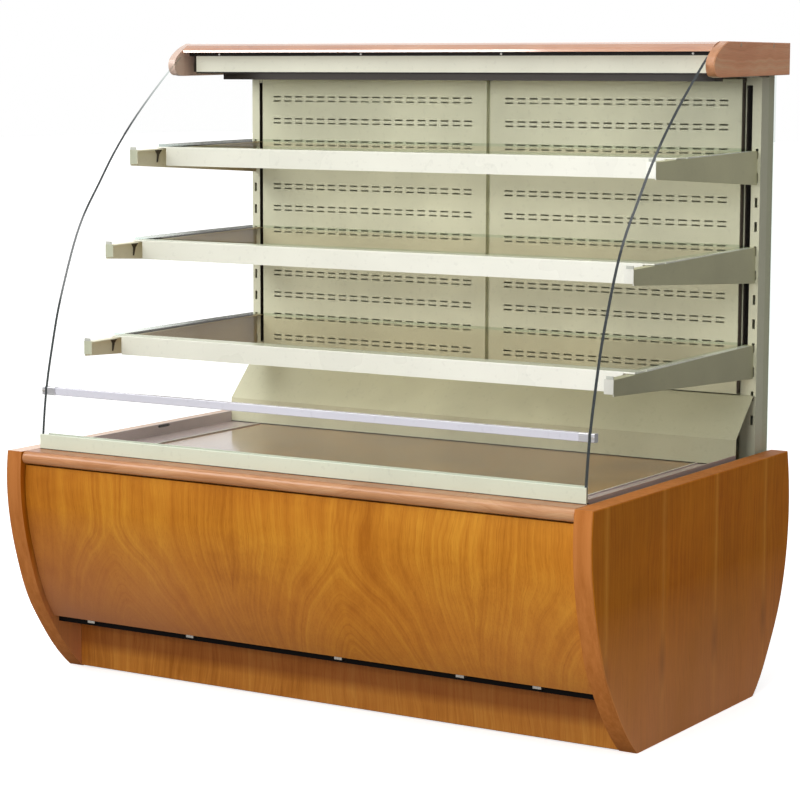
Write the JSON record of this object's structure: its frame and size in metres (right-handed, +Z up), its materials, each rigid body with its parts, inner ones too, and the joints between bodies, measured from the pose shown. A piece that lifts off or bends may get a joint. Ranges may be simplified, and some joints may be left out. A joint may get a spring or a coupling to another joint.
{
  "type": "refrigerated pastry display case",
  "caption": "Free-standing wood-faced display case with a curved open front, low front glass, slotted uprights with glass shelves, a perforated back and a canopy over the display room.",
  "frame": {"origin": "on the floor, under the middle of the case's box", "axes": "+X to the right seen from the front, +Y from the front to the back, +Z up"},
  "size_m": [1.37, 0.9012, 1.332],
  "materials": {
    "wood_panel": "satin orange-brown veneer with cathedral grain",
    "wood_edge": "satin lighter reddish solid edge",
    "cream_paint": "semi-gloss cream powder coat",
    "deck_gloss": "glossy brown-olive deck",
    "trim_brown": "satin brown-grey trim",
    "clear_glass": "clear float glass with dark green edges",
    "rail_metal": "polished aluminium extrusion",
    "dark_frame": "matte black paint",
    "bright_steel": "plated steel",
    "tub_liner": "light grey coated sheet over foam",
    "galvanised": "galvanised sheet and fins",
    "motor_black": "semi-gloss black enamel",
    "fan_plastic": "dark grey moulded blades",
    "copper_line": "drawn copper tube, dull",
    "black_plastic": "fine-textured black moulding",
    "lamp_tube": "opal lamp tube"
  },
  "bodies": {
    "root": {"air_discharge_grille": "dark_frame", "air_panel_left": "cream_paint", "air_panel_right": "cream_paint", "base_frame": "dark_frame", "canopy_caps": "wood_edge", "canopy_front_rail": "wood_panel", "canopy_light_panel": "cream_paint", "canopy_ribs": "cream_paint", "canopy_seal": "dark_frame", "canopy_top": "wood_panel", "compressor": "motor_black", "condensate_drain": "galvanised", "condenser_coil": "galvanised", "control_box": "dark_frame", "controller_face": "black_plastic", "deck_side_trims": "trim_brown", "evaporator_coil": "galvanised", "evaporator_fan_plate": "galvanised", "fan_motors": "motor_black", "fixing_screws": "bright_steel", "front_fascia": "cream_paint", "front_glass": "clear_glass", "front_panel": "wood_panel", "front_panel_clips": "bright_steel", "glass_rail": "rail_metal", "insulated_tub": "tub_liner", "kick_plate": "wood_panel", "lamp": "lamp_tube", "levelling_feet": "bright_steel", "lower_rear_panel": "cream_paint", "lower_shelf_brackets": "cream_paint", "lower_shelf_rail": "cream_paint", "middle_shelf_brackets": "cream_paint", "middle_shelf_rail": "cream_paint", "power_inlet": "black_plastic", "rail_clamps": "rail_metal", "rear_service_grille": "dark_frame", "rear_wall": "cream_paint", "refrigerant_lines": "copper_line", "return_air_grille": "cream_paint", "side_glass_channels": "rail_metal", "side_glass_left": "clear_glass", "side_glass_right": "clear_glass", "side_panel_left": "wood_panel", "side_panel_right": "wood_panel", "top_molding": "wood_edge", "upper_shelf_brackets": "cream_paint", "upper_shelf_rail": "cream_paint", "uprights": "cream_paint"},
    "deck_panel_body": {"deck_panel": "deck_gloss"},
    "upper_shelf_glass_body": {"upper_shelf_glass": "clear_glass"},
    "middle_shelf_glass_body": {"middle_shelf_glass": "clear_glass"},
    "lower_shelf_glass_body": {"lower_shelf_glass": "clear_glass"},
    "evaporator_fan_left_body": {"evaporator_fan_left": "fan_plastic"},
    "evaporator_fan_right_body": {"evaporator_fan_right": "fan_plastic"},
    "condenser_fan_body": {"condenser_fan": "fan_plastic"},
    "button_set_body": {"button_set": "black_plastic"},
    "button_defrost_body": {"button_defrost": "black_plastic"},
    "main_switch_body": {"main_switch": "black_plastic"},
    "light_switch_body": {"light_switch": "black_plastic"}
  },
  "joints": [
    {"name": "deck_lift", "type": "slide", "parent": "root", "child": "deck_panel_body", "axis": [0, 0, 1], "range_m": [0, 0.06]},
    {"name": "upper_shelf_lift", "type": "slide", "parent": "root", "child": "upper_shelf_glass_body", "axis": [0, 0, 1], "range_m": [0, 0.06]},
    {"name": "middle_shelf_lift", "type": "slide", "parent": "root", "child": "middle_shelf_glass_body", "axis": [0, 0, 1], "range_m": [0, 0.06]},
    {"name": "lower_shelf_lift", "type": "slide", "parent": "root", "child": "lower_shelf_glass_body", "axis": [0, 0, 1], "range_m": [0, 0.06]},
    {"name": "evaporator_fan_left_spin", "type": "hinge", "parent": "root", "child": "evaporator_fan_left_body", "pos_m": [-0.22, -0.1285, 0.378], "axis": [0, -1, 0], "continuous": true},
    {"name": "evaporator_fan_right_spin", "type": "hinge", "parent": "root", "child": "evaporator_fan_right_body", "pos_m": [0.22, -0.1285, 0.378], "axis": [0, -1, 0], "continuous": true},
    {"name": "condenser_fan_spin", "type": "hinge", "parent": "root", "child": "condenser_fan_body", "pos_m": [0.13, -0.1275, 0.152], "axis": [0, -1, 0], "continuous": true},
    {"name": "button_set_press", "type": "slide", "parent": "root", "child": "button_set_body", "axis": [0, -1, 0], "range_m": [0, 0.0015], "stiffness_N_per_m": 600},
    {"name": "button_defrost_press", "type": "slide", "parent": "root", "child": "button_defrost_body", "axis": [0, -1, 0], "range_m": [0, 0.0015], "stiffness_N_per_m": 600},
    {"name": "main_switch_rock", "type": "hinge", "parent": "root", "child": "main_switch_body", "pos_m": [0.5, 0.4437, 1.295], "axis": [1, 0, 0], "range_deg": [-16, 0]},
    {"name": "light_switch_rock", "type": "hinge", "parent": "root", "child": "light_switch_body", "pos_m": [0.54, 0.4437, 1.295], "axis": [1, 0, 0], "range_deg": [-16, 0]}
  ]
}
